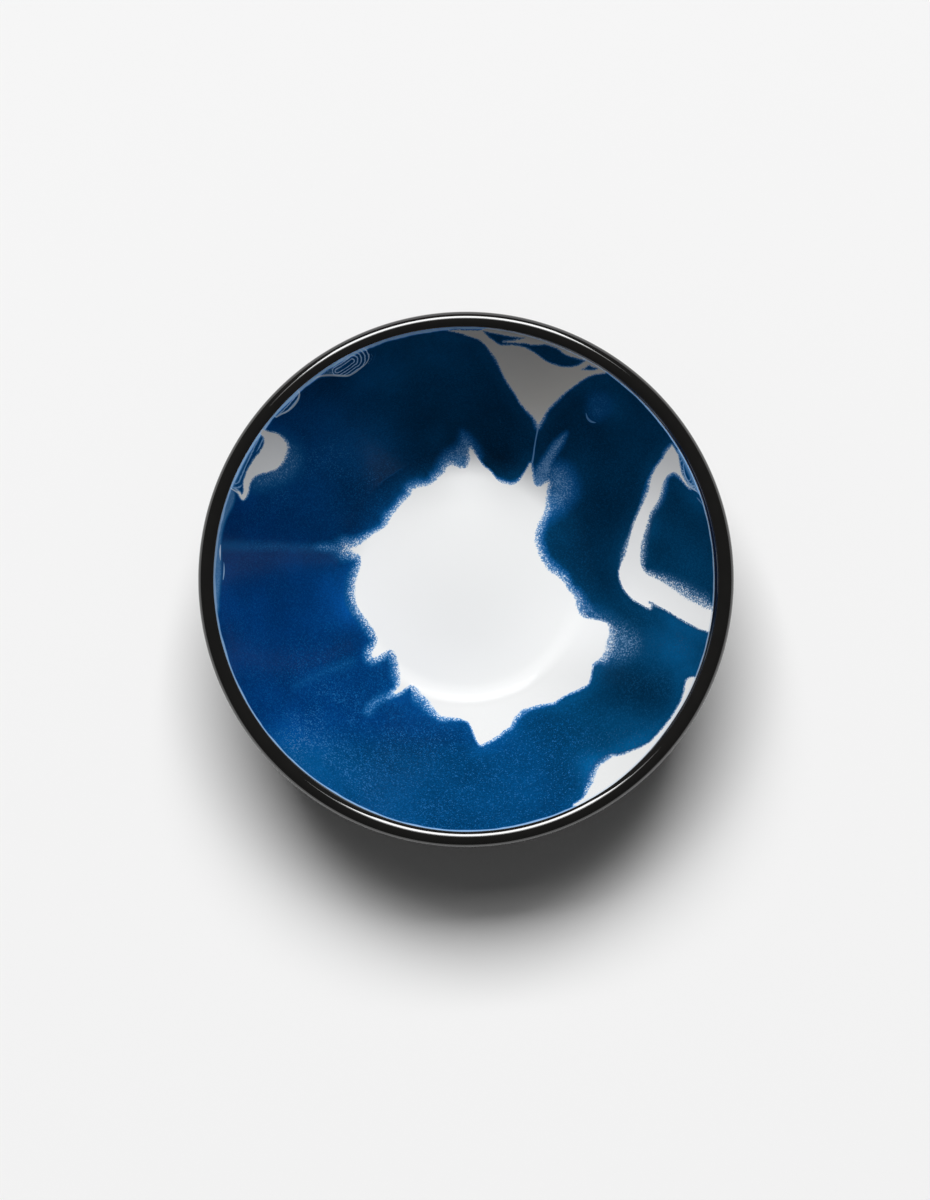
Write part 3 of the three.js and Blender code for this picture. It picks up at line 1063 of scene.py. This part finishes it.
def edging_enamel():
    finish = Finish("edging_enamel")
    cloud = finish.noise(6 * MM, 3.0)
    colour = finish.mix(cloud, (0.004, 0.0038, 0.0035, 1), (0.008, 0.0075, 0.0068, 1))
    finish.set(Base_Color=colour, Roughness=0.04, IOR=1.75)
    finish.bump(finish.noise(4 * MM), 0.01 * MM)
    return finish.material


def bare_steel():
    finish = Finish("bare_steel")
    grain = finish.noise(0.3 * MM, 3.0)
    colour = finish.mix(grain, (0.18, 0.18, 0.185, 1), (0.3, 0.3, 0.31, 1))
    finish.set(Base_Color=colour, Roughness=finish.between(grain, 0.2, 0.8, 0.4, 0.6), Metallic=1.0)
    return finish.material


def floor_material():
    finish = Finish("pale_floor")
    cloud = finish.noise(0.25, 3.0)
    finish.set(
        Base_Color=finish.mix(cloud, (0.895, 0.895, 0.895, 1), (0.905, 0.905, 0.905, 1)),
        Roughness=1.0,
        Specular_IOR_Level=0.0,
    )
    return finish.material


# The bowl

def dress(piece, node, material):
    piece.data.materials.append(material)
    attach(piece, BODY)
    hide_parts(node)


def add_bowl():
    inside = inside_enamel()
    marble(inside)
    dress(inside, "inside_coat", marbled_enamel())
    dress(outside_enamel(), "outside_coat", black_enamel())
    dress(rim_edging(), "rim_coat", edging_enamel())
    dress(pressed_sheet(), "steel_shell", bare_steel())


# The stage

FLOOR_REACH = 40.0
LIGHT_AZIMUTH = math.radians(95)
LIGHT_DISTANCE = 20.0
LIGHT_HALF_WIDTH = math.radians(20.5)  # as seen from the bowl
LIGHT_MIDDLE_GAP = 0.5

# A lamp's zenith angle and half height, both as seen from the bowl, and its radiance.
SOFTBOX = (math.radians(38.5), math.radians(16.5), 2.5)
SOFTBOX_MIDDLE = (math.radians(42.5), math.radians(11), 11.4)

SKY = 0.07
BACKDROP = 0.913
BACKDROP_TOP = 0.06  # the Z of a direction, up to which reflections see the backdrop


def add_floor():
    mesh = bpy.data.meshes.new("floor")
    shape = bmesh.new()
    bmesh.ops.create_grid(shape, x_segments=8, y_segments=8, size=FLOOR_REACH)
    shape.to_mesh(mesh)
    shape.free()
    floor = bpy.data.objects.new("floor", mesh)
    floor.data.materials.append(floor_material())
    bpy.context.scene.collection.objects.link(floor)


def add_lamp(name, distance, zenith, half_height, radiance):
    lamp = bpy.data.lights.new(name, "AREA")
    lamp.shape = "RECTANGLE"
    lamp.size = 2 * distance * math.tan(LIGHT_HALF_WIDTH)
    lamp.size_y = 2 * distance * math.tan(half_height)
    lamp.energy = math.pi * lamp.size * lamp.size_y * radiance
    way = Vector((
        math.sin(zenith) * math.cos(LIGHT_AZIMUTH),
        math.sin(zenith) * math.sin(LIGHT_AZIMUTH),
        math.cos(zenith),
    ))
    holder = bpy.data.objects.new(name, lamp)
    holder.location = way * distance
    holder.rotation_mode = "QUATERNION"
    holder.rotation_quaternion = way.to_track_quat("Z", "Y")
    holder.visible_camera = False
    bpy.context.scene.collection.objects.link(holder)


def add_light():
    """One large, far softbox towards +Y, brighter in its middle."""
    add_lamp("softbox", LIGHT_DISTANCE, *SOFTBOX)
    add_lamp("softbox_middle", LIGHT_DISTANCE - LIGHT_MIDDLE_GAP, *SOFTBOX_MIDDLE)


def add_world():
    """A dim room. The camera sees a pale backdrop all round, and reflections see it low down."""
    world = bpy.data.worlds.new("room")
    world.use_nodes = True
    tree = world.node_tree
    path = tree.nodes.new("ShaderNodeLightPath")
    place = tree.nodes.new("ShaderNodeTexCoord")
    height = tree.nodes.new("ShaderNodeSeparateXYZ")
    tree.links.new(place.outputs["Generated"], height.inputs["Vector"])

    def ranged(value, low, high, from_low, to_high):
        made = tree.nodes.new("ShaderNodeMapRange")
        tree.links.new(value, made.inputs["Value"])
        ends = {"From Min": low, "From Max": high, "To Min": from_low, "To Max": to_high}
        for key, number in ends.items():
            made.inputs[key].default_value = number
        return made.outputs["Result"]

    def combined(operation, a, b):
        made = tree.nodes.new("ShaderNodeMath")
        made.operation = operation
        tree.links.new(a, made.inputs[0])
        tree.links.new(b, made.inputs[1])
        return made.outputs[0]

    low_down = ranged(height.outputs["Z"], 0.0, BACKDROP_TOP, 1.0, 0.0)
    glossy, passed = path.outputs["Is Glossy Ray"], path.outputs["Is Transmission Ray"]
    mirrored = combined("MULTIPLY", combined("MAXIMUM", glossy, passed), low_down)
    seen = combined("MAXIMUM", path.outputs["Is Camera Ray"], mirrored)
    background = tree.nodes["Background"]
    tree.links.new(ranged(seen, 0.0, 1.0, SKY, BACKDROP), background.inputs["Strength"])
    background.inputs["Color"].default_value = (1, 1, 1, 1)
    bpy.context.scene.world = world


def add_camera():
    lens = bpy.data.cameras.new("camera")
    lens.sensor_width = SENSOR / MM
    lens.lens = LENS / MM
    camera = bpy.data.objects.new("camera", lens)
    camera.location = camera_place()
    bpy.context.scene.collection.objects.link(camera)
    bpy.context.scene.camera = camera


add_bowl()
add_floor()
add_light()
add_world()
add_camera()
bpy.context.scene.view_settings.view_transform = "Standard"
